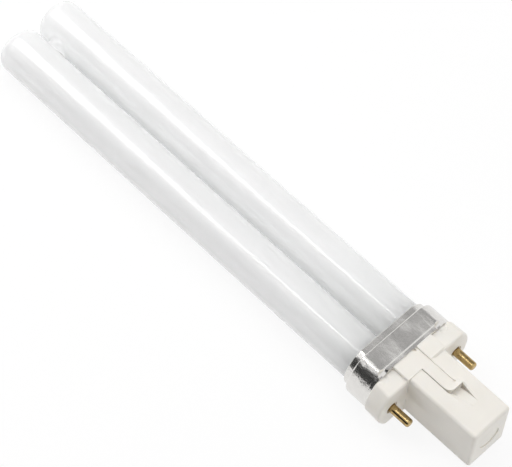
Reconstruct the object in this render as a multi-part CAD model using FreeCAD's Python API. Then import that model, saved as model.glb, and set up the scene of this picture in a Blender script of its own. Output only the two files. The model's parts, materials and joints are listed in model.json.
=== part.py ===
import FreeCAD, Part
import math
import os

# Two-pin compact fluorescent lamp, lying on one wide face of its cap.
# Lamp frame used while modelling: X along the tubes towards the post, seat of the pins at X = 0,
# Y across the two tubes, Z out of a wide face of the cap. All lengths are millimetres.

# Discharge tubes
tube_diameter = 12.9
tube_gap = 0.9
glass_wall = 0.9
seat_to_tip = 145.0
tip_corner_radius = 3.0
tip_crown_radius = 16.0
bridge_to_tip = 9.5
bridge_waist_diameter = 6.4
bridge_flare_radius = 2.8
bridge_bore_diameter = 3.6
seal_pinch_thickness = 3.0
seal_pinch_width = 8.0
seal_pinch_length = 2.4
seal_shoulder_length = 2.4
seal_to_pin_clearance = 1.6

# Metal sleeve, drawn from sheet
sleeve_wall = 0.4
sleeve_height = 7.1
sleeve_corner_radius = 0.6
sleeve_crease_radius = 2.0
sleeve_end_bulge = 0.8
collar_height = 1.8
collar_rim_radius = 0.35
collar_clearance = 0.5
collar_end_bulge = 0.45
end_centre_inset = 0.55
tube_hole_clearance = 0.15
neck_slot_width = 5.0

# Crimps that lock the sleeve to the housing
crimp_radius = 2.4
crimp_depth = 1.1
crimp_below_edge = 0.5
crimp_tilt = 12.0

# Housing, one moulding with the seat, the two shoulders and the post
skirt_wall = 1.0
skirt_mouth_gap = 0.7
skirt_to_tube_clearance = 0.3
skirt_to_sleeve_clearance = 0.05
shoulder_height = 5.2
shoulder_overhang = 0.4
shoulder_draft = 0.25
shoulder_thickness = 14.0
shoulder_seat_radius = 0.6
shoulder_crease_radius = 1.2
shoulder_rim_radius = 0.3
seat_plate = 2.0
block_margin = 0.4
block_ledge = 0.25
block_edge_radius = 0.3
pad_rise = 0.25
post_width = 12.7
post_thickness = 15.5
post_length = 22.0
post_edge_radius = 0.9
post_wall = 1.5
post_end_wall = 1.5
end_dimple_diameter = 6.6
end_dimple_depth = 0.3

# Latch on each wide face: a tongue that ends over a ramped pocket
latch_offset = 0.3
tongue_width = 4.3
tongue_length = 9.4
tongue_flat = 5.4
tongue_tip_rise = 0.8
tongue_sweep_run = 0.55
tongue_sweep_rise = 0.26
tongue_tip_thickness = 0.9
tongue_corner_radius = 1.6
tongue_gap_width = 0.22
tongue_gap_depth = 0.4
tongue_undercut = 0.6
tongue_groove_width = 0.35
tongue_groove_depth = 0.3
tongue_groove_from_edge = 1.15
tongue_groove_length = 7.7
notch_width = 1.0
notch_height = 0.8
notch_depth = 0.6
notch_from_groove = 0.4
pocket_length = 6.0
pocket_side_gap = 0.2
pocket_taper = 1.0
pocket_run_out = 0.1
pocket_web = 0.7
pocket_channel_width = 0.75
pocket_channel_extra = 0.85
pocket_slope_width = 1.1
pocket_slope_depth = 0.9
pocket_bevel_width = 0.5
pocket_bevel_depth = 0.25

# Contact pins
pin_spacing = 23.0
pin_diameter = 2.38
pin_length = 6.3
pin_tip_radius = 0.65
pin_bore_diameter = 1.2
pin_tip_wall = 1.6
pin_tail = 4.6
pin_shank_diameter = 3.0
pin_flange_diameter = 4.2
pin_flange_thickness = 0.5
pin_flange_clearance = 0.1
pin_boss_wall = 1.2
pin_hole_clearance = 0.02
pin_well_diameter = 3.6
pin_well_depth = 0.3

# Glow starter, its capacitor and the lead wires
starter_clearance = 0.3
starter_from_seat = 1.0
starter_seal_thickness = 2.0
starter_seal_width = 5.0
starter_seal_length = 1.6
capacitor_diameter = 5.6
capacitor_thickness = 2.2
capacitor_chamfer = 0.5
capacitor_clearance = 0.35
wire_diameter = 0.5
wire_bend_radius = 0.6
wire_gap = 0.1
lead_drop = 0.9

cement_depth = 3.0

# Worked out from the sizes above
tube_radius = tube_diameter / 2
tube_y = (tube_diameter + tube_gap) / 2
end_centre = tube_y - end_centre_inset
pin_y = pin_spacing / 2
pin_radius = pin_diameter / 2
shank_radius = pin_shank_diameter / 2
skirt_inner = tube_radius + skirt_to_tube_clearance
skirt_outer = skirt_inner + skirt_wall
sleeve_inner = skirt_outer + skirt_to_sleeve_clearance
sleeve_outer = sleeve_inner + sleeve_wall
collar_outer = tube_radius + collar_clearance + sleeve_wall
collar_inner = collar_outer - sleeve_wall
sleeve_edge_x = -shoulder_height
sleeve_shoulder_x = sleeve_edge_x - sleeve_height
collar_top_x = sleeve_shoulder_x - collar_height
skirt_mouth_x = sleeve_shoulder_x + sleeve_wall + skirt_mouth_gap
seal_end_x = -(pin_tail + seal_to_pin_clearance)
seal_start_x = seal_end_x - seal_pinch_length
tube_end_x = seal_start_x - seal_shoulder_length
post_half_width = post_width / 2
post_half_thickness = post_thickness / 2
block_half_width = post_half_width + block_margin
block_half_thickness = post_half_thickness + block_ledge
starter_radius = post_half_width - post_wall - starter_clearance
chamber_half = starter_radius + starter_clearance
chamber_end_x = post_length - post_end_wall
starter_end_x = chamber_end_x - starter_clearance
starter_start_x = starter_from_seat
starter_lead_x = starter_start_x - starter_seal_length
pocket_depth = post_half_thickness - chamber_half - pocket_web
tongue_top = block_half_thickness + tongue_tip_rise
lead_turn_x = seal_end_x + lead_drop
lead_outer_y = tube_y + seal_pinch_width / 4
lead_inner_y = tube_y - seal_pinch_width / 4
lead_middle_y = capacitor_thickness / 2 + wire_gap + wire_diameter / 2
capacitor_x = (skirt_mouth_x + cement_depth - seat_plate) / 2
capacitor_z = skirt_inner - capacitor_clearance - capacitor_diameter / 2
along = FreeCAD.Vector(1, 0, 0)
across = FreeCAD.Vector(0, 1, 0)
up = FreeCAD.Vector(0, 0, 1)
middle = FreeCAD.Vector(0, 0, 0)


def vector(x, y, z):
    return FreeCAD.Vector(x, y, z)


def box(x0, x1, y0, y1, z0, z1):
    """Box between two corners."""
    return Part.makeBox(x1 - x0, y1 - y0, z1 - z0, vector(x0, y0, z0))


def cylinder_x(radius, x0, x1, y, z=0.0):
    """Round bar along the lamp."""
    return Part.makeCylinder(radius, x1 - x0, vector(x0, y, z), along)


def half_turned(shape):
    """The same shape on the other wide face: the cap repeats after half a turn about its axis."""
    copy = shape.copy()
    copy.rotate(middle, along, 180)
    return copy


def mirrored(shape):
    """The same shape on the other tube's side."""
    return shape.mirror(middle, across)


def oblong_face(x, half_thickness, end_radius):
    """Cap outline at one height: two flat wide faces closed by arcs about the end centres."""
    crease = end_centre + math.sqrt(end_radius ** 2 - half_thickness ** 2)
    reach = end_centre + end_radius
    top_left = vector(x, -crease, half_thickness)
    top_right = vector(x, crease, half_thickness)
    bottom_left = vector(x, -crease, -half_thickness)
    bottom_right = vector(x, crease, -half_thickness)
    edges = [
        Part.makeLine(top_left, top_right),
        Part.Arc(top_right, vector(x, reach, 0), bottom_right).toShape(),
        Part.makeLine(bottom_right, bottom_left),
        Part.Arc(bottom_left, vector(x, -reach, 0), top_left).toShape(),
    ]
    return Part.Face(Part.Wire(edges))


def oblong(x0, x1, half_thickness, end_radius):
    """Solid of the cap outline between two heights."""
    return oblong_face(x0, half_thickness, end_radius).extrude(vector(x1 - x0, 0, 0))


def edges_between(shape, x0, x1):
    """Edges that run from x0 to x1 along the lamp, or lie across it where the two are the same."""
    same = 1e-4
    return [e for e in shape.Edges if abs(e.BoundBox.XMin - x0) < same and abs(e.BoundBox.XMax - x1) < same]


def dome_profile(radius, tip_x, corner, crown, foot_x):
    """Half section of a closed tube end: side, rounded corner and a shallow crown, all tangent."""
    lift = math.sqrt((crown - corner) ** 2 - (radius - corner) ** 2)
    crown_x = tip_x + crown
    corner_x = crown_x - lift
    reach = crown / (crown - corner)
    meet = vector(crown_x - lift * reach, (radius - corner) * reach, 0)
    turn = math.atan2(radius - corner, lift)
    half_way = 0.5 * (math.pi / 2 + turn)
    bend_x = corner_x - corner * math.cos(half_way)
    bend = vector(bend_x, radius - corner + corner * math.sin(half_way), 0)
    crown_mid = vector(crown_x - crown * math.cos(turn / 2), crown * math.sin(turn / 2), 0)
    side_start = vector(corner_x, radius, 0)
    side_end = vector(foot_x, radius, 0)
    edges = [
        Part.Arc(vector(tip_x, 0, 0), crown_mid, meet).toShape(),
        Part.Arc(meet, bend, side_start).toShape(),
        Part.makeLine(side_start, side_end),
        Part.makeLine(side_end, vector(foot_x, 0, 0)),
        Part.makeLine(vector(foot_x, 0, 0), vector(tip_x, 0, 0)),
    ]
    return Part.Face(Part.Wire(edges))


def domed_bar(radius, tip_x, corner, crown, foot_x, y):
    """Round bar with a domed end at tip_x and a flat end at foot_x."""
    solid = dome_profile(radius, tip_x, corner, crown, foot_x).revolve(middle, along, 360)
    solid.translate(vector(0, y, 0))
    return solid


def split_circle(x, y, radius):
    """Circle in four arcs, so that it lofts evenly into a flattened seal."""
    corners = [vector(x, y + radius * math.cos(a), radius * math.sin(a)) for a in
               (math.radians(45), math.radians(135), math.radians(225), math.radians(315))]
    mids = [vector(x, y, radius), vector(x, y - radius, 0), vector(x, y, -radius), vector(x, y + radius, 0)]
    ends = corners[1:] + corners[:1]
    return Part.Wire([Part.Arc(a, m, b).toShape() for a, m, b in zip(corners, mids, ends)])


def slot_wire(x, y, width, thickness):
    """Flattened seal outline: two straight sides and two half rounds."""
    half = thickness / 2
    flat = width / 2 - half
    corners = [vector(x, y + flat, half), vector(x, y - flat, half),
               vector(x, y - flat, -half), vector(x, y + flat, -half)]
    return Part.Wire([
        Part.makeLine(corners[0], corners[1]),
        Part.Arc(corners[1], vector(x, y - width / 2, 0), corners[2]).toShape(),
        Part.makeLine(corners[2], corners[3]),
        Part.Arc(corners[3], vector(x, y + width / 2, 0), corners[0]).toShape(),
    ])


def pinched_seal(y, start_x, pinch_x, end_x, radius, width, thickness):
    """Glass end that is softened and pinched flat round its wires."""
    press = slot_wire(pinch_x, y, width, thickness)
    shoulder = Part.makeLoft([split_circle(start_x, y, radius), press], True)
    return shoulder.fuse(Part.Face(press).extrude(vector(end_x - pinch_x, 0, 0)))


def bridge_bar():
    """Bridge blown between the tubes: a waist that runs out smoothly into both of them."""
    waist = bridge_waist_diameter / 2
    centre = waist + bridge_flare_radius
    turn = math.atan2(tube_y, centre)
    flare_y = bridge_flare_radius * math.sin(turn)
    flare_x = centre - bridge_flare_radius * math.cos(turn)
    edges = [
        Part.makeLine(vector(0, -tube_y, 0), vector(0, tube_y, 0)),
        Part.makeLine(vector(0, tube_y, 0), vector(flare_x, tube_y, 0)),
        Part.makeLine(vector(flare_x, tube_y, 0), vector(flare_x, flare_y, 0)),
        Part.Arc(vector(flare_x, flare_y, 0), vector(waist, 0, 0), vector(flare_x, -flare_y, 0)).toShape(),
        Part.makeLine(vector(flare_x, -flare_y, 0), vector(flare_x, -tube_y, 0)),
        Part.makeLine(vector(flare_x, -tube_y, 0), vector(0, -tube_y, 0)),
    ]
    solid = Part.Face(Part.Wire(edges)).revolve(middle, across, 360)
    solid.translate(vector(bridge_to_tip - seat_to_tip, 0, 0))
    return solid


def glass_envelope():
    """Two parallel tubes with domed tips, one bridge near the tips and a pinched seal at each foot."""
    tip_x = -seat_to_tip
    inside = tube_radius - glass_wall
    outer = []
    inner = []
    for y in (-tube_y, tube_y):
        outer.append(domed_bar(tube_radius, tip_x, tip_corner_radius, tip_crown_radius, tube_end_x, y))
        outer.append(pinched_seal(y, tube_end_x, seal_start_x, seal_end_x, tube_radius,
                                  seal_pinch_width, seal_pinch_thickness))
        dome_x = tip_x + glass_wall + inside
        inner.append(Part.makeSphere(inside, vector(dome_x, y, 0)))
        inner.append(cylinder_x(inside, dome_x, tube_end_x, y))
    bore = Part.makeCylinder(bridge_bore_diameter / 2, 2 * tube_y,
                             vector(bridge_to_tip - seat_to_tip, -tube_y, 0), across)
    solid = outer[0].fuse(outer[1:] + [bridge_bar()])
    space = bore.fuse(inner)
    return solid.cut(space).removeSplitter()


def crimp_balls(radius):
    """Balls of the crimping tool, one at each corner of the sleeve's lower edge."""
    end_radius = sleeve_outer + sleeve_end_bulge
    crease = end_centre + math.sqrt(end_radius ** 2 - sleeve_outer ** 2)
    stand_off = crimp_radius - crimp_depth
    tilt = math.radians(crimp_tilt)
    centre = vector(sleeve_edge_x + crimp_below_edge,
                    crease + stand_off * math.sin(tilt), sleeve_outer + stand_off * math.cos(tilt))
    ball = Part.makeSphere(radius, centre)
    pair = [ball, mirrored(ball)]
    return pair + [half_turned(each) for each in pair]


def metal_sleeve():
    """Drawn sleeve: flat-faced wall, rounded shoulder, short collar and a top with the tube opening."""
    body = oblong(sleeve_edge_x, sleeve_shoulder_x, sleeve_outer, sleeve_outer + sleeve_end_bulge)
    body = body.makeFillet(sleeve_crease_radius, edges_between(body, sleeve_shoulder_x, sleeve_edge_x))
    body = body.makeFillet(sleeve_corner_radius, edges_between(body, sleeve_shoulder_x, sleeve_shoulder_x))
    collar = oblong(sleeve_shoulder_x, collar_top_x, collar_outer, collar_outer + collar_end_bulge)
    collar = collar.makeFillet(collar_rim_radius, edges_between(collar, collar_top_x, collar_top_x))
    outside = body.fuse(collar).cut(crimp_balls(crimp_radius))
    hollow = oblong(sleeve_edge_x, sleeve_shoulder_x + sleeve_wall, sleeve_inner,
                    sleeve_inner + sleeve_end_bulge)
    neck = oblong(sleeve_edge_x, collar_top_x + sleeve_wall, collar_inner, collar_inner + collar_end_bulge)
    inside = hollow.cut(crimp_balls(crimp_radius + sleeve_wall)).fuse(neck)
    hole = tube_radius + tube_hole_clearance
    past_top = collar_top_x - sleeve_wall
    openings = [cylinder_x(hole, past_top, sleeve_edge_x, y) for y in (-tube_y, tube_y)]
    openings.append(box(past_top, collar_top_x + sleeve_wall, -tube_y, tube_y,
                        -neck_slot_width / 2, neck_slot_width / 2))
    return outside.cut([inside] + openings).removeSplitter()


def rounded_bar(x0, x1, half_width, half_thickness, radius):
    """Rectangular bar with rounded long edges."""
    bar = box(x0, x1, -half_width, half_width, -half_thickness, half_thickness)
    return bar.makeFillet(radius, edges_between(bar, x0, x1))


def tongue_block(bottom, top):
    """Plan of the tongue, with its one rounded corner, as a block between two heights."""
    y0 = latch_offset - tongue_width / 2
    block = box(-block_margin, tongue_length, y0, y0 + tongue_width, bottom, top)
    end_edges = edges_between(block, tongue_length, tongue_length)
    return block.makeFillet(tongue_corner_radius, [e for e in end_edges if e.BoundBox.YMax < latch_offset])


def tongue():
    """Latch tongue: flat from the seat, then swept up to a blunt tip."""
    y0 = latch_offset - tongue_width / 2
    root = chamber_half + pocket_web
    top = block_half_thickness
    flat_end = vector(tongue_flat, y0, top)
    tip = vector(tongue_length, y0, tongue_top)
    sweep = tongue_length - tongue_flat
    bend = vector(tongue_flat + sweep * tongue_sweep_run, y0, top + tongue_tip_rise * tongue_sweep_rise)
    edges = [
        Part.makeLine(vector(-block_margin, y0, root), vector(-block_margin, y0, top)),
        Part.makeLine(vector(-block_margin, y0, top), flat_end),
        Part.Arc(flat_end, bend, tip).toShape(),
        Part.makeLine(tip, vector(tongue_length, y0, root)),
        Part.makeLine(vector(tongue_length, y0, root), vector(-block_margin, y0, root)),
    ]
    swept = Part.Face(Part.Wire(edges)).extrude(vector(0, tongue_width, 0))
    return swept.common(tongue_block(root, tongue_top))


def ramped(x0, x1, floor, left0, left1, right0, right1):
    """Cut that is deepest at x0 and ramps up to the post face at x1, between two slanting sides."""
    above = tongue_top + tongue_tip_rise
    face = post_half_thickness
    plan = Part.makePolygon([
        vector(x0, left0, floor),
        vector(x1, left1, floor),
        vector(x1, right1, floor),
        vector(x0, right0, floor),
        vector(x0, left0, floor),
    ])
    column = Part.Face(plan).extrude(vector(0, 0, above - floor))
    side = Part.makePolygon([
        vector(x0, left0, floor),
        vector(x1, left0, face),
        vector(x1, left0, above),
        vector(x0, left0, above),
        vector(x0, left0, floor),
    ])
    return column.common(Part.Face(side).extrude(vector(0, right0 - left0, 0)))


def sloping_side(x0, x1, y0, y1, inward, depth):
    """Wedge that slopes down from an edge of the pocket, and runs out at its shallow end."""
    face = post_half_thickness
    ends = []
    for x, y, low in ((x0, y0, face - depth), (x1, y1, face - depth * pocket_run_out)):
        edge = vector(x, y, face)
        ends.append(Part.makePolygon([edge, vector(x, y + inward, face), vector(x, y + inward, low), edge]))
    return Part.makeLoft(ends, True, True)


def latch_pocket():
    """Ramped pocket past the tongue's tip: one side slopes in, the other has a deep channel and a bevel."""
    start = tongue_length
    end = tongue_length + pocket_length
    half = tongue_width / 2 + pocket_side_gap
    left0 = latch_offset - half
    left1 = left0 + pocket_taper
    right0 = latch_offset + half
    right1 = right0 - pocket_taper
    channel_floor = post_half_thickness - pocket_depth
    floor = channel_floor + pocket_channel_extra
    slope_foot = post_half_thickness - pocket_slope_depth
    ramp = ramped(start, end, floor, left0 + pocket_slope_width, left1 + pocket_slope_width,
                  right0, right1)
    channel = ramped(start, end, channel_floor, right0 - pocket_channel_width, right1 - pocket_channel_width,
                     right0, right1)
    slope = sloping_side(start, end, left0, left1, pocket_slope_width, pocket_slope_depth)
    bevel = sloping_side(start, end, right0 + pocket_bevel_width, right1 + pocket_bevel_width,
                         -pocket_bevel_width, pocket_bevel_depth)
    undercut = box(start - tongue_undercut, start, left0 + pocket_slope_width, right0,
                   floor, tongue_top - tongue_tip_thickness)
    beside = box(start - tongue_corner_radius, start, left0, latch_offset, slope_foot, tongue_top)
    corner = beside.cut(tongue_block(slope_foot, tongue_top))
    return ramp.fuse([channel, slope, bevel, undercut, corner])


def tongue_gap():
    """Narrow gap between the tongue's side and the post."""
    y = latch_offset - tongue_width / 2
    return box(0, tongue_length - tongue_corner_radius, y - tongue_gap_width, y,
               post_half_thickness - tongue_gap_depth, tongue_top)


def tongue_groove():
    """Fine groove along the tongue, from the sleeve's edge to a round end, with a notch at its start."""
    y = latch_offset + tongue_width / 2 - tongue_groove_from_edge
    half = tongue_groove_width / 2
    floor = block_half_thickness - tongue_groove_depth
    slot = box(sleeve_edge_x, tongue_groove_length, y - half, y + half, floor, tongue_top)
    stop = Part.makeCylinder(tongue_groove_width, tongue_top - floor,
                             vector(tongue_groove_length, y, floor), up)
    notch_y = y - notch_from_groove
    notch = box(sleeve_edge_x, sleeve_edge_x + notch_height, notch_y - notch_width, notch_y,
                block_half_thickness - notch_depth, tongue_top)
    return slot.fuse([stop, notch])


def raised_pad():
    """Slightly higher half of the wide face beside the groove."""
    y = latch_offset + tongue_width / 2 - tongue_groove_from_edge
    return box(sleeve_edge_x, -block_edge_radius, y, block_half_width - block_edge_radius,
               block_half_thickness - pad_rise, block_half_thickness + pad_rise)


def housing_outside():
    """Outer form of the moulding: skirt, shoulders, block and post."""
    skirt = oblong(skirt_mouth_x, sleeve_edge_x, skirt_outer, skirt_outer + sleeve_end_bulge)
    half = shoulder_thickness / 2
    end = sleeve_outer + sleeve_end_bulge + shoulder_overhang
    at_sleeve = oblong_face(sleeve_edge_x, half, end).OuterWire
    at_seat = oblong_face(0, half, end + shoulder_draft).OuterWire
    shoulders = Part.makeLoft([at_sleeve, at_seat], True, True)
    shoulders = shoulders.makeFillet(shoulder_crease_radius, edges_between(shoulders, sleeve_edge_x, 0))
    shoulders = shoulders.makeFillet(shoulder_seat_radius, edges_between(shoulders, 0, 0))
    rim = edges_between(shoulders, sleeve_edge_x, sleeve_edge_x)
    shoulders = shoulders.makeFillet(shoulder_rim_radius, rim)
    block = rounded_bar(sleeve_edge_x, 0, block_half_width, block_half_thickness, block_edge_radius)
    post = rounded_bar(-seat_plate, post_length, post_half_width, post_half_thickness, post_edge_radius)
    post = post.makeFillet(post_edge_radius, edges_between(post, post_length, post_length))
    raised = [tongue(), raised_pad()]
    raised += [half_turned(each) for each in raised]
    return skirt.fuse([shoulders, block, post] + raised)


def housing_inside():
    """Hollow of the moulding: wide under the tubes, narrow in the post round the starter."""
    well = oblong(skirt_mouth_x, -seat_plate, skirt_inner, skirt_inner + sleeve_end_bulge)
    one_side = box(skirt_mouth_x, -seat_plate, 0, 2 * pin_spacing, -post_thickness, post_thickness)
    half_well = well.common(one_side)
    boss = cylinder_x(shank_radius + pin_boss_wall, pin_flange_thickness - pin_tail, 0, pin_y)
    half_well = half_well.cut(boss)
    chamber = box(-seat_plate, chamber_end_x, -chamber_half, chamber_half, -chamber_half, chamber_half)
    return half_well.fuse([mirrored(half_well), chamber])


def base_housing():
    """White moulded cap with its post, latches, pin seats and the dimple at the end."""
    solid = housing_outside().cut(housing_inside())
    cuts = crimp_balls(crimp_radius + sleeve_wall)
    for y in (-pin_y, pin_y):
        cuts.append(cylinder_x(shank_radius + pin_hole_clearance, -pin_tail, -pin_well_depth, y))
        cuts.append(cylinder_x(pin_well_diameter / 2, -pin_well_depth, pin_length, y))
        cuts.append(cylinder_x(pin_flange_diameter / 2 + pin_flange_clearance, seal_end_x,
                               pin_flange_thickness - pin_tail, y))
    dimple = cylinder_x(end_dimple_diameter / 2, post_length - end_dimple_depth, post_length, 0)
    cuts.append(dimple)
    for each in (latch_pocket(), tongue_gap(), tongue_groove()):
        cuts.append(each)
        cuts.append(half_turned(each))
    return solid.cut(cuts).removeSplitter()


def contact_pin(y):
    """Hollow brass pin: round nose, thicker shank in the seat and a flange against its boss inside."""
    nose_x = pin_length - pin_tip_radius
    flat = pin_radius - pin_tip_radius
    quarter = pin_tip_radius * math.sqrt(0.5)
    nose_mid = vector(nose_x + quarter, flat + quarter, 0)
    shank_x = -pin_well_depth
    flange_x = pin_flange_thickness - pin_tail
    flange = pin_flange_diameter / 2
    bore = pin_bore_diameter / 2
    bore_end = pin_length - pin_tip_wall
    edges = [
        Part.makeLine(vector(bore_end, 0, 0), vector(pin_length, 0, 0)),
        Part.makeLine(vector(pin_length, 0, 0), vector(pin_length, flat, 0)),
        Part.Arc(vector(pin_length, flat, 0), nose_mid, vector(nose_x, pin_radius, 0)).toShape(),
        Part.makeLine(vector(nose_x, pin_radius, 0), vector(shank_x, pin_radius, 0)),
        Part.makeLine(vector(shank_x, pin_radius, 0), vector(shank_x, shank_radius, 0)),
        Part.makeLine(vector(shank_x, shank_radius, 0), vector(flange_x, shank_radius, 0)),
        Part.makeLine(vector(flange_x, shank_radius, 0), vector(flange_x, flange, 0)),
        Part.makeLine(vector(flange_x, flange, 0), vector(-pin_tail, flange, 0)),
        Part.makeLine(vector(-pin_tail, flange, 0), vector(-pin_tail, bore, 0)),
        Part.makeLine(vector(-pin_tail, bore, 0), vector(bore_end, bore, 0)),
        Part.makeLine(vector(bore_end, bore, 0), vector(bore_end, 0, 0)),
    ]
    solid = Part.Face(Part.Wire(edges)).revolve(middle, along, 360)
    solid.translate(vector(0, y, 0))
    return solid


def basing_cement():
    """Cement cast round the feet of the tubes, under the sleeve's top and into the skirt's mouth."""
    collar_part = oblong(collar_top_x + sleeve_wall, sleeve_shoulder_x + sleeve_wall, collar_inner,
                         collar_inner + collar_end_bulge)
    sleeve_part = oblong(sleeve_shoulder_x + sleeve_wall, skirt_mouth_x, sleeve_inner,
                         sleeve_inner + sleeve_end_bulge)
    skirt_part = oblong(skirt_mouth_x, skirt_mouth_x + cement_depth, skirt_inner,
                        skirt_inner + sleeve_end_bulge)
    solid = collar_part.fuse([sleeve_part, skirt_part])
    tubes = [cylinder_x(tube_radius, collar_top_x, seal_end_x, y) for y in (-tube_y, tube_y)]
    return solid.cut(tubes).removeSplitter()


def glow_starter():
    """Sealed glass bottle of the starter, dome outwards and pinched round its leads."""
    dome_x = starter_end_x - starter_radius
    bottle = cylinder_x(starter_radius, starter_start_x, dome_x, 0)
    dome = Part.makeSphere(starter_radius, vector(dome_x, 0, 0))
    seal = Part.Face(slot_wire(starter_lead_x, 0, starter_seal_width, starter_seal_thickness))
    return bottle.fuse([dome, seal.extrude(vector(2 * starter_seal_length, 0, 0))]).removeSplitter()


def wire_run(points):
    """Round wire: straight runs through the points, joined by bends."""
    radius = wire_diameter / 2
    runs = []
    start = points[0]
    for before, corner, after in zip(points, points[1:], points[2:]):
        inward = (before - corner).normalize()
        outward = (after - corner).normalize()
        bend_start = corner + inward * wire_bend_radius
        bend_centre = bend_start + outward * wire_bend_radius
        runs.append(Part.makeCylinder(radius, (bend_start - start).Length, start, inward * -1))
        section = Part.Face(Part.Wire(Part.makeCircle(radius, bend_start, inward)))
        runs.append(section.revolve(bend_centre, outward.cross(inward), 90))
        start = corner + outward * wire_bend_radius
    last_run = points[-1] - start
    runs.append(Part.makeCylinder(radius, last_run.Length, start, last_run))
    return runs[0].fuse(runs[1:])


def pin_lead():
    """Wire from the outer side of a tube's seal into the bore of its pin."""
    turn_x = -pin_tail - seal_to_pin_clearance / 2
    return wire_run([
        vector(seal_end_x, lead_outer_y, 0),
        vector(turn_x, lead_outer_y, 0),
        vector(turn_x, pin_y, 0),
        vector(pin_length - pin_tip_wall, pin_y, 0),
    ])


def starter_lead():
    """Wire from the inner side of a tube's seal to the starter's seal."""
    return wire_run([
        vector(seal_end_x, lead_inner_y, 0),
        vector(lead_turn_x, lead_inner_y, 0),
        vector(lead_turn_x, lead_middle_y, 0),
        vector(starter_lead_x, lead_middle_y, 0),
    ])


def capacitor():
    """Disc capacitor between the two seals, with its wires laid on the starter's wires."""
    half = capacitor_thickness / 2
    disc = Part.makeCylinder(capacitor_diameter / 2, capacitor_thickness,
                             vector(capacitor_x, -half, capacitor_z), across)
    disc = disc.makeChamfer(capacitor_chamfer, [e for e in disc.Edges if e.Closed])
    wire_y = half - wire_diameter
    wire = wire_run([
        vector(lead_turn_x, wire_y, capacitor_z),
        vector(lead_turn_x, wire_y, wire_diameter),
        vector(lead_turn_x, (lead_inner_y + lead_middle_y) / 2, wire_diameter),
    ])
    return disc.fuse([wire, mirrored(wire)]).removeSplitter()


def resting_tilt():
    """Angle at which the lamp lies on both tube tips and the lowest part of its cap."""
    corner_x = tip_corner_radius - seat_to_tip
    corner_z = tip_corner_radius - tube_radius
    feet = [
        (tongue_length, tongue_top),
        (0.0, block_half_thickness + pad_rise),
        (sleeve_shoulder_x, sleeve_outer),
        (post_length, post_half_thickness),
    ]
    tilts = []
    for foot_x, foot_drop in feet:
        run = foot_x - corner_x
        rise = corner_z + foot_drop
        slope = math.atan2(rise, run) - math.asin(tip_corner_radius / math.hypot(run, rise))
        tilts.append(slope)
    return math.degrees(max(tilts))


def laid_down(pieces):
    """Every piece turned to the resting tilt, with the origin under the middle of the lamp."""
    placed = {name: shape.copy() for name, shape in pieces.items()}
    for shape in placed.values():
        shape.rotate(middle, across, -resting_tilt())
    reach = Part.makeCompound(list(placed.values())).optimalBoundingBox(False)
    shift = vector(-0.5 * (reach.XMin + reach.XMax), -0.5 * (reach.YMin + reach.YMax), -reach.ZMin)
    for shape in placed.values():
        shape.translate(shift)
    return placed


def single_solid(shape):
    """The one solid of a finished piece."""
    return shape.Solids[0] if len(shape.Solids) == 1 else shape


os.makedirs("parts", exist_ok=True)
pieces = {
    "glass_envelope": glass_envelope(),
    "metal_sleeve": metal_sleeve(),
    "base_housing": base_housing(),
    "basing_cement": basing_cement(),
    "contact_pin_left": contact_pin(-pin_y),
    "contact_pin_right": contact_pin(pin_y),
    "pin_lead_left": mirrored(pin_lead()),
    "pin_lead_right": pin_lead(),
    "glow_starter": glow_starter(),
    "starter_lead_left": mirrored(starter_lead()),
    "starter_lead_right": starter_lead(),
    "starter_capacitor": capacitor(),
}
for name, shape in laid_down(pieces).items():
    single_solid(shape).exportStep("parts/" + name + ".step")
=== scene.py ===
import json
import math

import bmesh
import bpy
from mathutils import Matrix, Vector


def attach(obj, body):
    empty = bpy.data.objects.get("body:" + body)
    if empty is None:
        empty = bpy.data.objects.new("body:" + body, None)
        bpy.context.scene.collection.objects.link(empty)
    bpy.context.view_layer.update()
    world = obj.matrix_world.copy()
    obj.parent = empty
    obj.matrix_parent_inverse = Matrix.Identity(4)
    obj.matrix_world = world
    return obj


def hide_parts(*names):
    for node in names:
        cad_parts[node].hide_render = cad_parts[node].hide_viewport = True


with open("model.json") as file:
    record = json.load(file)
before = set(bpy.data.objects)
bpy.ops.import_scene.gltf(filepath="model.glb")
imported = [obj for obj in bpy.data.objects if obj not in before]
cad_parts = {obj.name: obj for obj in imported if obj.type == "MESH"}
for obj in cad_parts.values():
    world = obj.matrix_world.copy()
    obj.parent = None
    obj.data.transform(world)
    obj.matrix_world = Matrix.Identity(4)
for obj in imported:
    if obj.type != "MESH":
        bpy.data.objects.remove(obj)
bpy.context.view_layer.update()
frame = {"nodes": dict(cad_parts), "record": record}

# How the lamp lies
# The lamp rests on its tube tips and one latch, so its length is tilted by about a degree. Its own
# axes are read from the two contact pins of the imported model: X towards the post, Y from pin to pin.
MM = 0.001
PIN_WELL_DEPTH = 0.3 * MM

mounts = {mount["name"]: mount for mount in frame["record"]["mounts"]}
pin_left = Vector(mounts["pin_left"]["pos_m"])
pin_right = Vector(mounts["pin_right"]["pos_m"])
along = Vector(mounts["pin_left"]["axis"]).normalized()
across = (pin_right - pin_left).normalized()
pin_middle = mounts["pin_left"]["dims"]["length_mm"] * MM / 2 - PIN_WELL_DEPTH
seat = (pin_left + pin_right) / 2 - pin_middle * along
lamp_place = Matrix((along, across, along.cross(across))).transposed().to_4x4()
lamp_place.translation = seat


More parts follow.
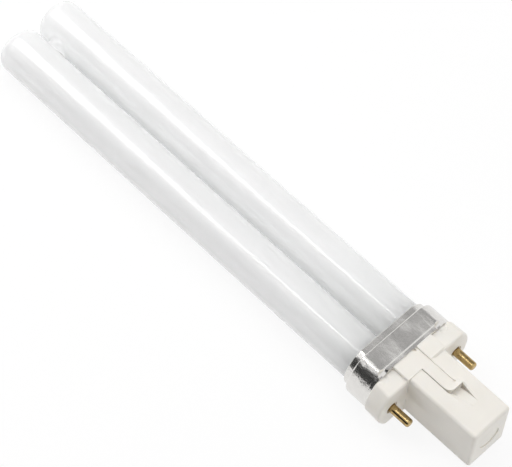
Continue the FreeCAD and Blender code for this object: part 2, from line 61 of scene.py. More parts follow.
# Discharge tubes
# Soda-lime glass, drawn as tube, closed to a dome at the tips, joined by a blown bridge and pinched
# flat at the feet round its wires. A white phosphor coat is baked on the inside.
TUBE_RADIUS = 6.45 * MM
TUBE_SPACING = 13.8 * MM
SEAT_TO_TIP = 145.0 * MM
TIP_CORNER_RADIUS = 3.0 * MM
TIP_CROWN_RADIUS = 16.0 * MM
TUBE_END_X = -11.0 * MM
TUBE_END_BAND = 0.4 * MM
SEAL_START_X = -8.6 * MM
SEAL_END_X = -6.2 * MM
SEAL_WIDTH = 8.0 * MM
SEAL_THICKNESS = 3.0 * MM
BRIDGE_TO_TIP = 9.5 * MM
BRIDGE_WAIST_RADIUS = 3.2 * MM
BRIDGE_FLARE_AT_SIDE = 0.9 * MM
BRIDGE_FLARE_AT_TOP = 2.2 * MM
BRIDGE_ROUNDING = 0.6
BRIDGE_OPENING_HALF = 5.2 * MM
BRIDGE_OPENING_TURN = math.radians(64)
BRIDGE_OPENING_STEPS = 26
STEPS_ROUND_TUBE = 128
WELD_DISTANCE = 0.001 * MM
SHARP_EDGE = math.radians(40)


def linear(hex_colour):
    """An sRGB hex colour as the linear RGBA that Blender's sockets take."""
    parts = [int(hex_colour[i:i + 2], 16) / 255 for i in (1, 3, 5)]
    return [p / 12.92 if p <= 0.04045 else ((p + 0.055) / 1.055) ** 2.4 for p in parts] + [1.0]


def add_node(tree, kind, inputs=None, **settings):
    """Adds a node. An input takes a value, or a link where it is given another node's socket."""
    node = tree.nodes.new(kind)
    for name, value in settings.items():
        setattr(node, name, value)
    for name, value in (inputs or {}).items():
        if isinstance(value, bpy.types.NodeSocket):
            tree.links.new(value, node.inputs[name])
        else:
            node.inputs[name].default_value = value
    return node


def lamp_coordinates(tree):
    """Object coordinates turned into the lamp's own axes, so that a pattern follows its length."""
    turn = lamp_place.inverted()
    coordinates = add_node(tree, "ShaderNodeTexCoord")
    return add_node(tree, "ShaderNodeMapping", {
        "Vector": coordinates.outputs["Object"],
        "Location": turn.translation,
        "Rotation": turn.to_euler(),
    }).outputs["Vector"]


def phosphor_coated_glass():
    """Clear glass over a baked white powder coat: milky and even, with wet-looking sharp reflections.
    The coat dried in faint long runs, and it thins and greys near the cap, partly where the electrodes
    heat it and partly as painted shade for the darker reflections near the sleeve."""
    coat_run_width = 2.5 * MM
    coat_run_length = 60.0 * MM
    haze_and_shade_start_x = -52.0 * MM
    haze_and_shade_end_x = -13.0 * MM
    material = bpy.data.materials.new("phosphor_coated_glass")
    material.use_nodes = True
    tree = material.node_tree
    place = lamp_coordinates(tree)
    stretched = add_node(tree, "ShaderNodeMapping", {
        "Vector": place,
        "Scale": (1 / coat_run_length, 1 / coat_run_width, 1 / coat_run_width),
    })
    runs = add_node(tree, "ShaderNodeTexNoise", {
        "Vector": stretched.outputs["Vector"], "Scale": 1.0, "Detail": 3.0, "Roughness": 0.55})
    coat = add_node(tree, "ShaderNodeMix", {
        "Factor": runs.outputs["Fac"], "A": linear("#FDFEFE"), "B": linear("#F7F9F9"),
    }, data_type="RGBA")
    split = add_node(tree, "ShaderNodeSeparateXYZ", {"Vector": place})
    # Greying towards the cap: the electrodes' real darkening mixed with painted shade for the darker
    # reflections there.
    haze_and_shade = add_node(tree, "ShaderNodeMapRange", {
        "Value": split.outputs["X"], "From Min": haze_and_shade_start_x, "From Max": haze_and_shade_end_x, "To Max": 0.6,
    }, interpolation_type="SMOOTHSTEP")
    greyed = add_node(tree, "ShaderNodeMix", {
        "Factor": haze_and_shade.outputs["Result"], "A": coat.outputs["Result"], "B": linear("#DADBD9"),
    }, data_type="RGBA")
    shader = tree.nodes["Principled BSDF"]
    tree.links.new(greyed.outputs["Result"], shader.inputs["Base Color"])
    shader.inputs["Roughness"].default_value = 0.55
    shader.inputs["Subsurface Weight"].default_value = 1.0
    shader.inputs["Subsurface Radius"].default_value = (1.0, 1.0, 1.0)
    shader.inputs["Subsurface Scale"].default_value = 30.0 * MM
    shader.inputs["Coat Weight"].default_value = 1.0
    shader.inputs["Coat Roughness"].default_value = 0.02
    shader.inputs["Coat IOR"].default_value = 1.52
    return material


def arc_points(centre_x, centre_r, radius, start, end, steps):
    """Points of an arc of a half section, as (place along the lamp, distance from the axis)."""
    angles = [start + (end - start) * i / steps for i in range(steps + 1)]
    return [(centre_x - radius * math.cos(a), centre_r + radius * math.sin(a)) for a in angles]


def tube_half_section():
    """Half section of one tube, from the pole of its domed tip to the middle of its foot. A narrow
    band before the foot keeps the pinch from bending the long wall's shading."""
    crown_steps = 12
    corner_steps = 20
    corner_r = TUBE_RADIUS - TIP_CORNER_RADIUS
    lift = math.sqrt((TIP_CROWN_RADIUS - TIP_CORNER_RADIUS) ** 2 - corner_r ** 2)
    crown_x = TIP_CROWN_RADIUS - SEAT_TO_TIP
    turn = math.atan2(corner_r, lift)
    crown = arc_points(crown_x, 0, TIP_CROWN_RADIUS, 0, turn, crown_steps)
    corner = arc_points(
        crown_x - lift, corner_r, TIP_CORNER_RADIUS, turn, math.pi / 2, corner_steps)
    opening_x = BRIDGE_TO_TIP - SEAT_TO_TIP - BRIDGE_OPENING_HALF
    step = 2 * BRIDGE_OPENING_HALF / BRIDGE_OPENING_STEPS
    side = [(opening_x + step * i, TUBE_RADIUS) for i in range(BRIDGE_OPENING_STEPS + 1)]
    foot = [(TUBE_END_X - TUBE_END_BAND, TUBE_RADIUS), (TUBE_END_X, TUBE_RADIUS), (TUBE_END_X, 0)]
    return crown + corner[1:] + side + foot


def twin_tube_tree():
    """Geometry Nodes that turn a half section round its line and set two copies side by side."""
    tree = bpy.data.node_groups.new("twin_tubes", "GeometryNodeTree")
    sockets = (("Half section", "NodeSocketGeometry", "INPUT"),
               ("Spacing", "NodeSocketFloat", "INPUT"),
               ("Steps round", "NodeSocketInt", "INPUT"),
               ("Finish", "NodeSocketMaterial", "INPUT"),
               ("Tubes", "NodeSocketGeometry", "OUTPUT"))
    for name, kind, side in sockets:
        tree.interface.new_socket(name, in_out=side, socket_type=kind)
    given = add_node(tree, "NodeGroupInput")
    circle = add_node(tree, "GeometryNodeCurvePrimitiveCircle", {
        "Resolution": given.outputs["Steps round"], "Radius": 1.0})
    reach = add_node(tree, "GeometryNodeInputRadius")
    turned = add_node(tree, "GeometryNodeCurveToMesh", {
        "Curve": given.outputs["Half section"], "Profile Curve": circle.outputs["Curve"],
        "Scale": reach.outputs["Radius"]})
    closed = add_node(tree, "GeometryNodeMergeByDistance", {
        "Geometry": turned.outputs["Mesh"], "Distance": WELD_DISTANCE})
    first = add_node(tree, "ShaderNodeMath", {
        0: given.outputs["Spacing"], 1: -0.5}, operation="MULTIPLY")
    start = add_node(tree, "ShaderNodeCombineXYZ", {"Y": first.outputs["Value"]})
    step = add_node(tree, "ShaderNodeCombineXYZ", {"Y": given.outputs["Spacing"]})
    places = add_node(tree, "GeometryNodeMeshLine", {
        "Count": 2, "Start Location": start.outputs["Vector"], "Offset": step.outputs["Vector"]})
    pair = add_node(tree, "GeometryNodeInstanceOnPoints", {
        "Points": places.outputs["Mesh"], "Instance": closed.outputs["Geometry"]})
    real = add_node(tree, "GeometryNodeRealizeInstances", {"Geometry": pair.outputs["Instances"]})
    smooth = add_node(tree, "GeometryNodeSetShadeSmooth", {"Geometry": real.outputs["Geometry"]})
    finish = add_node(tree, "GeometryNodeSetMaterial", {
        "Geometry": smooth.outputs["Geometry"], "Material": given.outputs["Finish"]})
    add_node(tree, "NodeGroupOutput", {"Tubes": finish.outputs["Geometry"]})
    return tree


def twin_tube_mesh(finish):
    """The two straight tubes with their domed tips, as a plain mesh."""
    section = tube_half_section()
    line = bpy.data.curves.new("tube_half_section", "CURVE")
    line.dimensions = "3D"
    spline = line.splines.new("POLY")
    spline.points.add(len(section) - 1)
    for point, (x, reach) in zip(spline.points, section):
        point.co = (x, 0, 0, 1)
        point.radius = reach
    turning = bpy.data.objects.new("tube_half_section", line)
    bpy.context.scene.collection.objects.link(turning)
    modifier = turning.modifiers.new("twin_tubes", "NODES")
    modifier.node_group = twin_tube_tree()
    values = {"Spacing": TUBE_SPACING, "Steps round": STEPS_ROUND_TUBE, "Finish": finish}
    for item in modifier.node_group.interface.items_tree:
        if item.name in values:
            modifier[item.identifier] = values[item.name]
    evaluated = turning.evaluated_get(bpy.context.evaluated_depsgraph_get())
    mesh = bpy.data.meshes.new_from_object(evaluated)
    bpy.data.objects.remove(turning)
    return mesh


def joined(shape, lower, upper):
    """A band of faces between two rings of vertices. Gives back the upper ring."""
    for i in range(len(lower)):
        after = (i + 1) % len(lower)
        shape.faces.new((lower[i], lower[after], upper[after], upper[i])).smooth = True
    return upper


def opened_rim(shape, inside, angle_of):
    """Takes away the faces that lie inside, and gives the rim of the opening in order of angle."""
    gone = [face for face in shape.faces if inside(face.calc_center_median())]
    corners = {vert for face in gone for vert in face.verts}
    bmesh.ops.delete(shape, geom=gone, context="FACES")
    return sorted((vert for vert in corners if vert.is_valid), key=lambda vert: angle_of(vert.co))


def pinch_foot(shape, y):
    """Opens the flat foot of one tube and pinches it to a flat press round its wires."""
    steps = 10
    flat = (SEAL_WIDTH - SEAL_THICKNESS) / 2
    flat_sharpness = 4
    ring = opened_rim(shape, lambda place: place.x > TUBE_END_X - WELD_DISTANCE and place.y * y > 0,
                      lambda place: math.atan2(place.z, place.y - y))
    angles = [math.atan2(vert.co.z, vert.co.y - y) for vert in ring]
    for level in range(1, steps + 2):
        share = min(1, level / steps)
        blend = share * share * (3 - 2 * share)
        x = SEAL_END_X if level > steps else TUBE_END_X + share * (SEAL_START_X - TUBE_END_X)
        points = []
        for angle in angles:
            side, rise = math.cos(angle), math.sin(angle)
            flat_share = min(1, flat_sharpness * abs(side))
            press_y = side * SEAL_THICKNESS / 2 + math.copysign(flat, side) * flat_share
            points.append((x, y + side * TUBE_RADIUS * (1 - blend) + press_y * blend,
                           rise * (TUBE_RADIUS * (1 - blend) + SEAL_THICKNESS / 2 * blend)))
        ring = joined(shape, ring, [shape.verts.new(point) for point in points])
    shape.faces.new(ring)


def bridge_section(angle):
    """Half of the bridge in one direction round its axis, as points of (reach, y) from a tube's skin
    to the waist. It leaves the skin without an edge."""
    steps = 16
    rise = math.sin(angle)
    flare = BRIDGE_FLARE_AT_SIDE + (BRIDGE_FLARE_AT_TOP - BRIDGE_FLARE_AT_SIDE) * rise * rise
    foot = BRIDGE_WAIST_RADIUS + flare
    depth = math.sqrt(TUBE_RADIUS ** 2 - (foot * rise) ** 2)
    foot_y = TUBE_SPACING / 2 - depth
    pull = BRIDGE_ROUNDING * flare
    reaches = (foot, foot - pull, BRIDGE_WAIST_RADIUS, BRIDGE_WAIST_RADIUS)
    sides = (foot_y, foot_y - pull * foot * rise * rise / depth, BRIDGE_ROUNDING * foot_y, 0)
    points = []
    for level in range(steps + 1):
        t = level / steps
        weights = ((1 - t) ** 3, 3 * t * (1 - t) ** 2, 3 * t * t * (1 - t), t ** 3)
        points.append((sum(w * r for w, r in zip(weights, reaches)),
                       sum(w * s for w, s in zip(weights, sides))))
    return points


def blow_bridge(shape):
    """Opens both tubes where they face each other and joins them with the bridge."""
    skirt_steps = 8
    centre_x = BRIDGE_TO_TIP - SEAT_TO_TIP
    levels = []
    for side in (-1, 1):
        axis_y = side * TUBE_SPACING / 2

        def faces_other(place):
            turn = math.atan2(abs(place.z), -side * (place.y - axis_y))
            return (place.y * side > 0 and turn < BRIDGE_OPENING_TURN
                    and abs(place.x - centre_x) < BRIDGE_OPENING_HALF)

        rim = opened_rim(shape, faces_other, lambda place: math.atan2(place.z, place.x - centre_x))
        angles = [math.atan2(vert.co.z, vert.co.x - centre_x) for vert in rim]
        starts = [(vert.co.x - centre_x, math.asin(vert.co.z / TUBE_RADIUS)) for vert in rim]
        sections = [bridge_section(angle) for angle in angles]
        ring = rim
        for level in range(1, skirt_steps + 1):
            share = level / skirt_steps
            points = []
            for (x, turn), angle, section in zip(starts, angles, sections):
                foot = section[0][0]
                x += share * (foot * math.cos(angle) - x)
                turn += share * (math.asin(foot * math.sin(angle) / TUBE_RADIUS) - turn)
                points.append((centre_x + x, axis_y - side * TUBE_RADIUS * math.cos(turn),
                               TUBE_RADIUS * math.sin(turn)))
            ring = joined(shape, ring, [shape.verts.new(point) for point in points])
        last = len(sections[0]) if side < 0 else len(sections[0]) - 1
        for level in range(1, last):
            points = []
            for section, angle in zip(sections, angles):
                reach, y = section[level]
                points.append((centre_x + reach * math.cos(angle), side * y, reach * math.sin(angle)))
            ring = joined(shape, ring, [shape.verts.new(point) for point in points])
        levels.append(ring)
    joined(shape, levels[0], levels[1])


phosphor_glass = phosphor_coated_glass()
envelope = bmesh.new()
envelope.from_mesh(twin_tube_mesh(phosphor_glass))
blow_bridge(envelope)
for tube_y in (-TUBE_SPACING / 2, TUBE_SPACING / 2):
    pinch_foot(envelope, tube_y)
bmesh.ops.recalc_face_normals(envelope, faces=envelope.faces)
envelope.transform(lamp_place)
envelope_mesh = bpy.data.meshes.new("discharge_tubes")
envelope.to_mesh(envelope_mesh)
envelope.free()
envelope_mesh.materials.append(phosphor_glass)
envelope_mesh.set_sharp_from_angle(angle=SHARP_EDGE)
discharge_tubes = bpy.data.objects.new("discharge_tubes", envelope_mesh)
bpy.context.scene.collection.objects.link(discharge_tubes)
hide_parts("glass_envelope")
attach(discharge_tubes, "root")


# Metal sleeve
# Aluminium sheet, deep drawn to a flat-faced cup with a collar, then crimped into the cap at four
# places along its lower edge.
def drawn_aluminium():
    """Bright drawn aluminium: blurred mirror with slow waves, puckers on the round ends, where the
    sheet was squeezed in, and a lower rim that turns in. The fine marks along the draw are three
    times coarser than real, so that they show."""
    draw_mark_width = 0.3 * MM
    draw_mark_length = 6.0 * MM
    draw_mark_depth = 0.02 * MM
    wave_size = 7.0 * MM
    wave_depth = 0.4 * MM
    pucker_size = 1.6 * MM
    pucker_depth = 0.14 * MM
    round_start_y = 8.0 * MM
    round_end_y = 10.5 * MM
    rim_start_x = -6.7 * MM
    rim_end_x = -5.8 * MM
    rim_turn_in = 0.3 * MM
    material = bpy.data.materials.new("drawn_aluminium")
    material.use_nodes = True
    tree = material.node_tree
    place = lamp_coordinates(tree)
    stretched = add_node(tree, "ShaderNodeMapping", {
        "Vector": place,
        "Scale": (1 / draw_mark_length, 1 / draw_mark_width, 1 / draw_mark_width),
    })
    marks = add_node(tree, "ShaderNodeTexNoise", {
        "Vector": stretched.outputs["Vector"], "Scale": 1.0, "Detail": 4.0, "Roughness": 0.6})
    unevenness = add_node(tree, "ShaderNodeTexNoise", {
        "Vector": place, "Scale": 1 / pucker_size, "Detail": 2.0, "Roughness": 0.5})
    tint = add_node(tree, "ShaderNodeMix", {
        "Factor": unevenness.outputs["Fac"], "A": linear("#E6E4E1"), "B": linear("#DAD8D5"),
    }, data_type="RGBA")
    polish = add_node(tree, "ShaderNodeMapRange", {
        "Value": marks.outputs["Fac"],
        "From Min": 0.3, "From Max": 0.7, "To Min": 0.18, "To Max": 0.24})
    wave = add_node(tree, "ShaderNodeTexNoise", {
        "Vector": place, "Scale": 1 / wave_size, "Detail": 1.0, "Roughness": 0.4})
    split = add_node(tree, "ShaderNodeSeparateXYZ", {"Vector": place})
    off_middle = add_node(tree, "ShaderNodeMath", {0: split.outputs["Y"]}, operation="ABSOLUTE")
    puckering = add_node(tree, "ShaderNodeMapRange", {
        "Value": off_middle.outputs["Value"], "From Min": round_start_y, "From Max": round_end_y,
        "To Min": 0.2, "To Max": 1.0})
    puckers = add_node(tree, "ShaderNodeMath", {
        0: unevenness.outputs["Fac"], 1: puckering.outputs["Result"]}, operation="MULTIPLY")
    rim = add_node(tree, "ShaderNodeMapRange", {
        "Value": split.outputs["X"], "From Min": rim_start_x, "From Max": rim_end_x,
        "To Min": 1.0, "To Max": 0.0,
    }, interpolation_type="SMOOTHSTEP")
    rim_bump = add_node(tree, "ShaderNodeBump", {
        "Height": rim.outputs["Result"], "Strength": 1.0, "Distance": rim_turn_in})
    wave_bump = add_node(tree, "ShaderNodeBump", {
        "Height": wave.outputs["Fac"], "Strength": 1.0, "Distance": wave_depth,
        "Normal": rim_bump.outputs["Normal"]})
    pucker_bump = add_node(tree, "ShaderNodeBump", {
        "Height": puckers.outputs["Value"], "Strength": 1.0, "Distance": pucker_depth,
        "Normal": wave_bump.outputs["Normal"]})
    mark_bump = add_node(tree, "ShaderNodeBump", {
        "Height": marks.outputs["Fac"], "Strength": 0.03, "Distance": draw_mark_depth,
        "Normal": pucker_bump.outputs["Normal"]})
    shader = tree.nodes["Principled BSDF"]
    tree.links.new(tint.outputs["Result"], shader.inputs["Base Color"])
    tree.links.new(polish.outputs["Result"], shader.inputs["Roughness"])
    tree.links.new(mark_bump.outputs["Normal"], shader.inputs["Normal"])
    shader.inputs["Metallic"].default_value = 1.0
    return material


def give_finish(node_name, material):
    """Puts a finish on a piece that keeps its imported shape."""
    frame["nodes"][node_name].material_slots[0].material = material


give_finish("metal_sleeve", drawn_aluminium())


# Cap
# White glass-filled polyester, moulded in one shot with its shoulders, post, latches and pin seats,
# and held in the sleeve by the crimps.
def moulded_polyester():
    """Warm white moulded polyester: satin, dulled by its glass filling and a little translucent, with
    the fine grain of a spark-eroded mould and faint flow clouds. The grain is drawn at twice its
    real size, so that it shows."""
    grain_size = 0.12 * MM
    cloud_size = 7.0 * MM
    material = bpy.data.materials.new("moulded_polyester")
    material.use_nodes = True
    tree = material.node_tree
    place = lamp_coordinates(tree)
    clouds = add_node(tree, "ShaderNodeTexNoise", {
        "Vector": place, "Scale": 1 / cloud_size, "Detail": 3.0, "Roughness": 0.5})
    grain = add_node(tree, "ShaderNodeTexNoise", {
        "Vector": place, "Scale": 1 / grain_size, "Detail": 2.0, "Roughness": 0.6})
    tint = add_node(tree, "ShaderNodeMix", {
        "Factor": clouds.outputs["Fac"], "A": linear("#F5F1EA"), "B": linear("#EEEAE2"),
    }, data_type="RGBA")
    sheen = add_node(tree, "ShaderNodeMapRange", {
        "Value": clouds.outputs["Fac"],
        "From Min": 0.3, "From Max": 0.7, "To Min": 0.34, "To Max": 0.46})
    bump = add_node(tree, "ShaderNodeBump", {
        "Height": grain.outputs["Fac"], "Strength": 0.12, "Distance": 0.02 * MM})
    shader = tree.nodes["Principled BSDF"]
    tree.links.new(tint.outputs["Result"], shader.inputs["Base Color"])
    tree.links.new(sheen.outputs["Result"], shader.inputs["Roughness"])
    tree.links.new(bump.outputs["Normal"], shader.inputs["Normal"])
    shader.inputs["IOR"].default_value = 1.55
    shader.inputs["Specular IOR Level"].default_value = 0.3
    shader.inputs["Subsurface Weight"].default_value = 0.15
    shader.inputs["Subsurface Radius"].default_value = (1.0, 0.85, 0.65)
    shader.inputs["Subsurface Scale"].default_value = 0.8 * MM
    return material


give_finish("base_housing", moulded_polyester())


# Contact pins
# Brass, turned on an automatic lathe with a round nose and drilled for the wire, then pressed into
# the cap from inside.
def turned_brass():
    """Bright turned brass: warm gold with fine rings round the pin from the tool, and a thin brown
    tarnish in patches. The rings are drawn ten times coarser than real, so that they show. A wave
    texture of scale 1 has a ring every tenth of pi."""
    ring_pitch = 1.0 * MM
    tarnish_size = 1.2 * MM
    material = bpy.data.materials.new("turned_brass")
    material.use_nodes = True
    tree = material.node_tree
    place = lamp_coordinates(tree)
    rings = add_node(tree, "ShaderNodeTexWave", {
        "Vector": place, "Scale": math.pi / 10 / ring_pitch, "Distortion": 0.6, "Detail": 2.0,
    }, bands_direction="X")
    tarnish = add_node(tree, "ShaderNodeTexNoise", {
        "Vector": place, "Scale": 1 / tarnish_size, "Detail": 4.0, "Roughness": 0.6})
    patches = add_node(tree, "ShaderNodeMapRange", {
        "Value": tarnish.outputs["Fac"], "From Min": 0.45, "From Max": 0.75})
    tint = add_node(tree, "ShaderNodeMix", {
        "Factor": patches.outputs["Result"], "A": linear("#BFA675"), "B": linear("#78633D"),
    }, data_type="RGBA")
    polish = add_node(tree, "ShaderNodeMapRange", {
        "Value": tarnish.outputs["Fac"],
        "From Min": 0.3, "From Max": 0.8, "To Min": 0.08, "To Max": 0.24})
    bump = add_node(tree, "ShaderNodeBump", {
        "Height": rings.outputs["Fac"], "Strength": 0.08, "Distance": 0.02 * MM})
    shader = tree.nodes["Principled BSDF"]
    tree.links.new(tint.outputs["Result"], shader.inputs["Base Color"])
    tree.links.new(polish.outputs["Result"], shader.inputs["Roughness"])
    tree.links.new(bump.outputs["Normal"], shader.inputs["Normal"])
    shader.inputs["Metallic"].default_value = 1.0
    return material


brass = turned_brass()
for pin in ("contact_pin_left", "contact_pin_right"):
    give_finish(pin, brass)


# Cement
# Mineral-filled resin, cast round the feet of the tubes and baked, so that it holds glass, sleeve and
# cap together.
def basing_cement():
    """Baked cement: dull, chalky and buff, with sand grains and small pores."""
    sand_size = 0.25 * MM
    material = bpy.data.materials.new("basing_cement")
    material.use_nodes = True
    tree = material.node_tree
    place = lamp_coordinates(tree)
    sand = add_node(tree, "ShaderNodeTexNoise", {
        "Vector": place, "Scale": 1 / sand_size, "Detail": 5.0, "Roughness": 0.7})
    tint = add_node(tree, "ShaderNodeMix", {
        "Factor": sand.outputs["Fac"], "A": linear("#DDD6C8"), "B": linear("#B9B0A0"),
    }, data_type="RGBA")
    bump = add_node(tree, "ShaderNodeBump", {
        "Height": sand.outputs["Fac"], "Strength": 0.5, "Distance": 0.1 * MM})
    shader = tree.nodes["Principled BSDF"]
    tree.links.new(tint.outputs["Result"], shader.inputs["Base Color"])
    tree.links.new(bump.outputs["Normal"], shader.inputs["Normal"])
    shader.inputs["Roughness"].default_value = 0.9
    return material


give_finish("basing_cement", basing_cement())


# Glow starter
# A small bottle of clear glass, blown, filled with gas and pinched shut. It stands in the post on its
# own wires.
def starter_glass():
    """Clear bottle glass over dark contacts: it reads as smoky, with a little metal mist inside."""
    mist_size = 3.0 * MM
    material = bpy.data.materials.new("starter_glass")
    material.use_nodes = True
    tree = material.node_tree
    place = lamp_coordinates(tree)
    mist = add_node(tree, "ShaderNodeTexNoise", {
        "Vector": place, "Scale": 1 / mist_size, "Detail": 2.0, "Roughness": 0.5})
    tint = add_node(tree, "ShaderNodeMix", {
        "Factor": mist.outputs["Fac"], "A": linear("#E4EAEA"), "B": linear("#B9C2C2"),
    }, data_type="RGBA")
    shader = tree.nodes["Principled BSDF"]
    tree.links.new(tint.outputs["Result"], shader.inputs["Base Color"])
    shader.inputs["Roughness"].default_value = 0.04
    shader.inputs["IOR"].default_value = 1.5
    shader.inputs["Transmission Weight"].default_value = 0.7
    return material


give_finish("glow_starter", starter_glass())


# Wires and capacitor
# Tinned copper wires run from the seals to the pins and the starter. The capacitor is a ceramic disc
# dipped in orange-brown lacquer, and its wires lie on the starter's.
def tinned_copper():
    """Tinned copper wire: soft silver, dull in patches where the tin has oxidised."""
    oxide_size = 0.8 * MM
    material = bpy.data.materials.new("tinned_copper")
    material.use_nodes = True
    tree = material.node_tree
    place = lamp_coordinates(tree)
    oxide = add_node(tree, "ShaderNodeTexNoise", {
        "Vector": place, "Scale": 1 / oxide_size, "Detail": 3.0, "Roughness": 0.6})
    tint = add_node(tree, "ShaderNodeMix", {
        "Factor": oxide.outputs["Fac"], "A": linear("#CFCCC4"), "B": linear("#A49E92"),
    }, data_type="RGBA")
    polish = add_node(tree, "ShaderNodeMapRange", {
        "Value": oxide.outputs["Fac"], "To Min": 0.2, "To Max": 0.5})
    shader = tree.nodes["Principled BSDF"]
    tree.links.new(tint.outputs["Result"], shader.inputs["Base Color"])
    tree.links.new(polish.outputs["Result"], shader.inputs["Roughness"])
    shader.inputs["Metallic"].default_value = 1.0
    return material


def dipped_lacquer():
    """Thick dipped lacquer: orange-brown, glossy and slightly wavy."""
    wave_size = 1.5 * MM
    material = bpy.data.materials.new("dipped_lacquer")
    material.use_nodes = True
    tree = material.node_tree
    place = lamp_coordinates(tree)
    wave = add_node(tree, "ShaderNodeTexNoise", {
        "Vector": place, "Scale": 1 / wave_size, "Detail": 1.0, "Roughness": 0.4})
    tint = add_node(tree, "ShaderNodeMix", {
        "Factor": wave.outputs["Fac"], "A": linear("#C2702A"), "B": linear("#A3571C"),
    }, data_type="RGBA")
    bump = add_node(tree, "ShaderNodeBump", {
        "Height": wave.outputs["Fac"], "Strength": 0.3, "Distance": 0.1 * MM})
    shader = tree.nodes["Principled BSDF"]
    tree.links.new(tint.outputs["Result"], shader.inputs["Base Color"])
    tree.links.new(bump.outputs["Normal"], shader.inputs["Normal"])
    shader.inputs["Roughness"].default_value = 0.22
    return material


wire_finish = tinned_copper()
for wire in ("pin_lead_left", "pin_lead_right", "starter_lead_left", "starter_lead_right"):
    give_finish(wire, wire_finish)
give_finish("starter_capacitor", dipped_lacquer())


# Studio
# White floor that glows a little like a light table, an even white surround, a tapered softbox that
# draws the streaks along the tubes, a dim card at the side and a grey card overhead for the metal to
# mirror, and three soft lights that stay out of reflections.
FLOOR_SIZE = 6.0
FLOOR_SHADOW_SHARE = 0.14
FLOOR_GLOW = 0.3
SURROUND_LIGHT = 0.48
SOFTBOX_HEIGHT = 0.508
CAMERA_PLACE = (0.20565, -0.237876, 0.52651)
CAMERA_TURN_DEG = (30.8648, -3.0797, 45.6714)
CAMERA_LENS_MM = 166.853
SENSOR_WIDTH_MM = 36.0


def seen_directly(tree):
    """One for rays that the camera, a reflection or clear glass sends out, and zero for the rest."""
    path = add_node(tree, "ShaderNodeLightPath")
    seen = path.outputs["Is Camera Ray"]
    for ray in ("Is Glossy Ray", "Is Transmission Ray"):
        either = add_node(tree, "ShaderNodeMath", {
            0: seen, 1: path.outputs[ray]}, operation="MAXIMUM")
        seen = either.outputs["Value"]
    return seen


def sheet_corners(left, right, front, back):
    """Corners of a rectangle between two edges along X, each given by its place as (y, z)."""
    return [(left, *front), (right, *front), (right, *back), (left, *back)]


def flat_card(name, corners, material):
    """A flat card."""
    mesh = bpy.data.meshes.new(name)
    mesh.from_pydata(corners, [], [tuple(range(len(corners)))])
    mesh.materials.append(material)
    card = bpy.data.objects.new(name, mesh)
    bpy.context.scene.collection.objects.link(card)
    return card


def white_floor_finish():
    """Matt white sheet lit from below, as on a light table, so that the tubes get light on all
    sides. Most of what is seen of it is its own white, and the rest takes the shadow."""
    material = bpy.data.materials.new("white_floor_paper")
    material.use_nodes = True
    tree = material.node_tree
    tree.nodes.clear()
    seen = seen_directly(tree)
    tone = add_node(tree, "ShaderNodeMix", {
        "Factor": seen, "A": linear("#F2F2F2"), "B": linear("#FDFDFD"),
    }, data_type="RGBA")
    paper = add_node(tree, "ShaderNodeBsdfDiffuse", {"Color": tone.outputs["Result"]})
    white = add_node(tree, "ShaderNodeEmission", {"Color": linear("#FFFFFF"), "Strength": 1.0})
    share = add_node(tree, "ShaderNodeMapRange", {
        "Value": seen, "To Min": FLOOR_GLOW, "To Max": 1 - FLOOR_SHADOW_SHARE})
    mixed = add_node(tree, "ShaderNodeMixShader", {
        0: share.outputs["Result"], 1: paper.outputs["BSDF"], 2: white.outputs["Emission"]})
    add_node(tree, "ShaderNodeOutputMaterial", {"Surface": mixed.outputs["Shader"]})
    return material


def lit_cloth(axis, start, end, strength_start, strength_end):
    """White cloth lit from one side, so that its glow changes along an axis, faster towards the
    end."""
    material = bpy.data.materials.new("lit_cloth")
    material.use_nodes = True
    tree = material.node_tree
    tree.nodes.clear()
    coordinates = add_node(tree, "ShaderNodeTexCoord")
    split = add_node(tree, "ShaderNodeSeparateXYZ", {"Vector": coordinates.outputs["Object"]})
    share = add_node(tree, "ShaderNodeMapRange", {
        "Value": split.outputs[axis], "From Min": start, "From Max": end})
    squared = add_node(tree, "ShaderNodeMath", {
        0: share.outputs["Result"], 1: 2.0}, operation="POWER")
    strength = add_node(tree, "ShaderNodeMapRange", {
        "Value": squared.outputs["Value"], "To Min": strength_start, "To Max": strength_end})
    glow = add_node(tree, "ShaderNodeEmission", {
        "Color": linear("#FFFFFF"), "Strength": strength.outputs["Result"]})
    add_node(tree, "ShaderNodeOutputMaterial", {"Surface": glow.outputs["Emission"]})
    return material


def soft_light(name, place, size, power):
    """A square area light that points at the middle of the lamp and stays out of reflections."""
    light = bpy.data.lights.new(name, "AREA")
    light.shape = "SQUARE"
    light.size = size
    light.energy = power
    lamp = bpy.data.objects.new(name, light)
    lamp.location = place
    lamp.rotation_euler = (-Vector(place)).to_track_quat("-Z", "Y").to_euler()
    lamp.visible_glossy = False
    bpy.context.scene.collection.objects.link(lamp)


half_floor = FLOOR_SIZE / 2
flat_card("studio_floor", sheet_corners(
    -half_floor, half_floor, front=(-half_floor, 0), back=(half_floor, 0)), white_floor_finish())

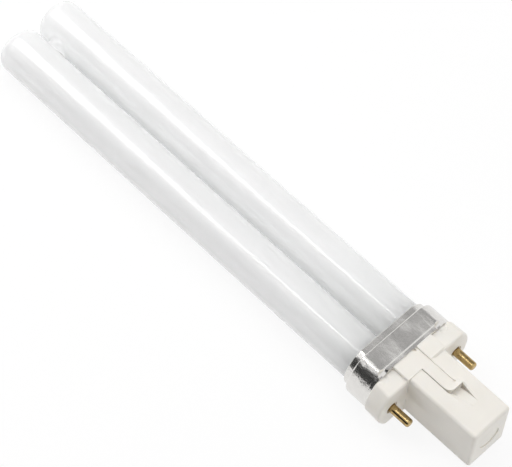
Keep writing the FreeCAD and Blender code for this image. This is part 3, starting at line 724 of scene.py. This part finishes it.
# The softbox as (x, lowest y, highest y): broad beyond the tips, and narrow over the cap.
softbox_outline = [
    (-0.42, -0.26, 0.20), (-0.34, -0.25, 0.144), (-0.277, -0.24, 0.035), (-0.22, -0.225, -0.037),
    (-0.19, -0.185, -0.078), (-0.163, -0.168, -0.086), (-0.13, -0.155, -0.095),
    (-0.06, -0.148, -0.10)]
softbox_front = [(x, low, SOFTBOX_HEIGHT) for x, low, high in softbox_outline]
softbox_back = [(x, high, SOFTBOX_HEIGHT) for x, low, high in reversed(softbox_outline)]
softbox = flat_card("studio_softbox", softbox_front + softbox_back, lit_cloth(
    "X", start=-0.06, end=-0.18, strength_start=7.5, strength_end=4.2))
dim_side = flat_card(
    "studio_dim_side", sheet_corners(-2.2, 1.4, front=(-0.80, 0.0), back=(-0.80, 1.3)),
    lit_cloth("Z", start=0.45, end=1.3, strength_start=0.04, strength_end=1.4))
grey_top = flat_card(
    "studio_grey_top", sheet_corners(-1.3, 0.5, front=(0.33, 0.9), back=(2.4, 0.45)),
    lit_cloth("Y", start=0.6, end=2.4, strength_start=0.43, strength_end=0.8))
grey_top.visible_diffuse = False
for card in (softbox, dim_side, grey_top):
    card.visible_camera = False
    card.visible_shadow = False
soft_light("overhead_light", place=(-0.1, 0.35, 1.2), size=1.0, power=4.8)
soft_light("right_light", place=(1.0, 0.1, 0.35), size=0.6, power=1.2)
soft_light("back_light", place=(-1.2, -0.45, 0.65), size=0.8, power=4.0)

world = bpy.data.worlds.new("studio_surround")
bpy.context.scene.world = world
world.use_nodes = True
world_tree = world.node_tree
world_tree.nodes.clear()
surround = add_node(world_tree, "ShaderNodeMapRange", {
    "Value": seen_directly(world_tree), "To Min": SURROUND_LIGHT, "To Max": 1.0})
backdrop = add_node(world_tree, "ShaderNodeBackground", {
    "Color": linear("#FFFFFF"), "Strength": surround.outputs["Result"]})
add_node(world_tree, "ShaderNodeOutputWorld", {"Surface": backdrop.outputs["Background"]})

camera_data = bpy.data.cameras.new("camera")
camera_data.lens = CAMERA_LENS_MM
camera_data.sensor_width = SENSOR_WIDTH_MM
camera = bpy.data.objects.new("camera", camera_data)
camera.location = CAMERA_PLACE
camera.rotation_euler = [math.radians(angle) for angle in CAMERA_TURN_DEG]
bpy.context.scene.collection.objects.link(camera)
bpy.context.scene.camera = camera
bpy.context.scene.view_settings.view_transform = "Standard"
